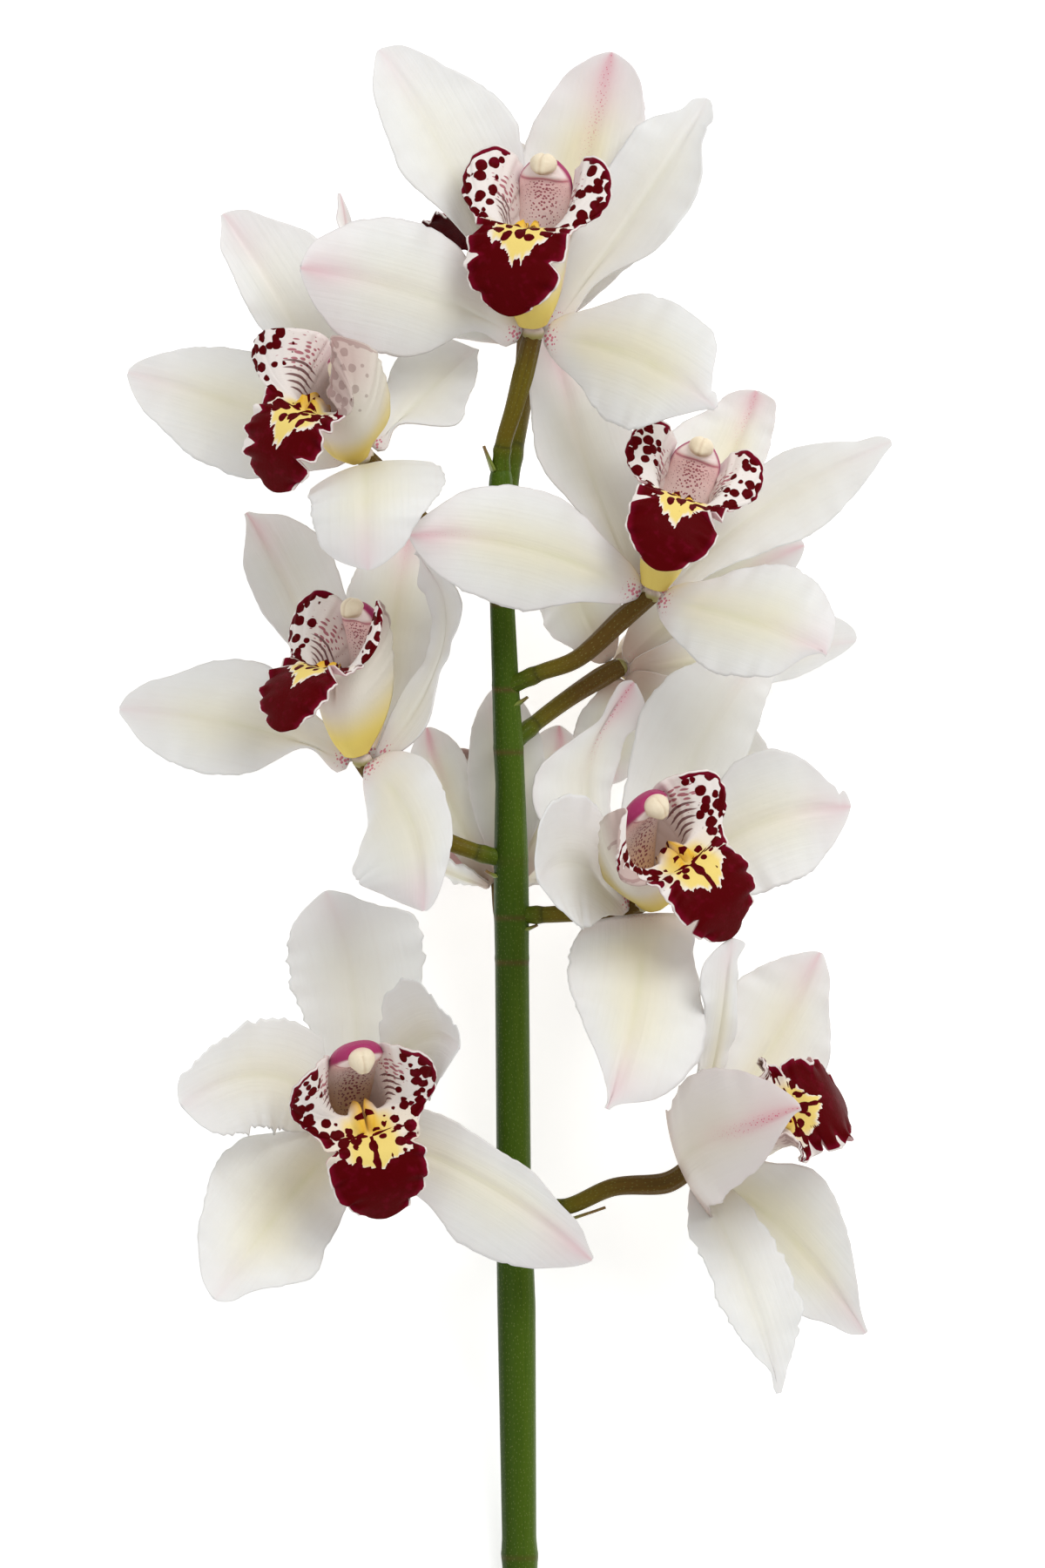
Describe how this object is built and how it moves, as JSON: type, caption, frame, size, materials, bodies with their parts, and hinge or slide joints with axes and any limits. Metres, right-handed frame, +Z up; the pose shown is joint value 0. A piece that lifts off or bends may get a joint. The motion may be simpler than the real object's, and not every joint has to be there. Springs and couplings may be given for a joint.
{
  "type": "cut cymbidium orchid stem",
  "caption": "Cut cymbidium orchid stem lying on its back: white open blooms with speckled crimson lips on short pedicels along one green stalk.",
  "frame": {"origin": "on the surface the stem lies on, under the middle of the part's bounding box", "axes": "+Y from the cut end of the stem towards the topmost bloom, +Z up, the way the blooms face, +X to the right seen from above with the cut end nearest"},
  "size_m": [0.178, 0.3532, 0.12],
  "materials": {
    "stem": "satin green stalk with brown rings at the nodes",
    "pedicel": "smooth olive to brown flower stalk",
    "tepal": "waxy white with a cream base and pink midrib",
    "lip": "waxy white marked with crimson",
    "column": "waxy pink, crimson towards the tip",
    "cap": "matt cream"
  },
  "bodies": {
    "root": {"main_stem": "stem", "top_pedicel": "pedicel", "top_column": "column", "top_anther_cap": "cap", "top_lip": "lip", "top_tepals": "tepal", "top_back_pedicel": "pedicel", "top_back_column": "column", "top_back_anther_cap": "cap", "top_back_lip": "lip", "top_back_tepals": "tepal", "upper_left_pedicel": "pedicel", "upper_left_column": "column", "upper_left_anther_cap": "cap", "upper_left_lip": "lip", "upper_left_tepals": "tepal", "upper_right_pedicel": "pedicel", "upper_right_column": "column", "upper_right_anther_cap": "cap", "upper_right_lip": "lip", "upper_right_tepals": "tepal", "right_back_pedicel": "pedicel", "right_back_column": "column", "right_back_anther_cap": "cap", "right_back_lip": "lip", "right_back_tepals": "tepal", "middle_left_pedicel": "pedicel", "middle_left_column": "column", "middle_left_anther_cap": "cap", "middle_left_lip": "lip", "middle_left_tepals": "tepal", "middle_right_pedicel": "pedicel", "middle_right_column": "column", "middle_right_anther_cap": "cap", "middle_right_lip": "lip", "middle_right_tepals": "tepal", "stem_back_pedicel": "pedicel", "stem_back_column": "column", "stem_back_anther_cap": "cap", "stem_back_lip": "lip", "stem_back_tepals": "tepal", "lower_left_pedicel": "pedicel", "lower_left_column": "column", "lower_left_anther_cap": "cap", "lower_left_lip": "lip", "lower_left_tepals": "tepal", "lower_right_pedicel": "pedicel", "lower_right_column": "column", "lower_right_anther_cap": "cap", "lower_right_lip": "lip", "lower_right_tepals": "tepal"}
  },
  "joints": []
}
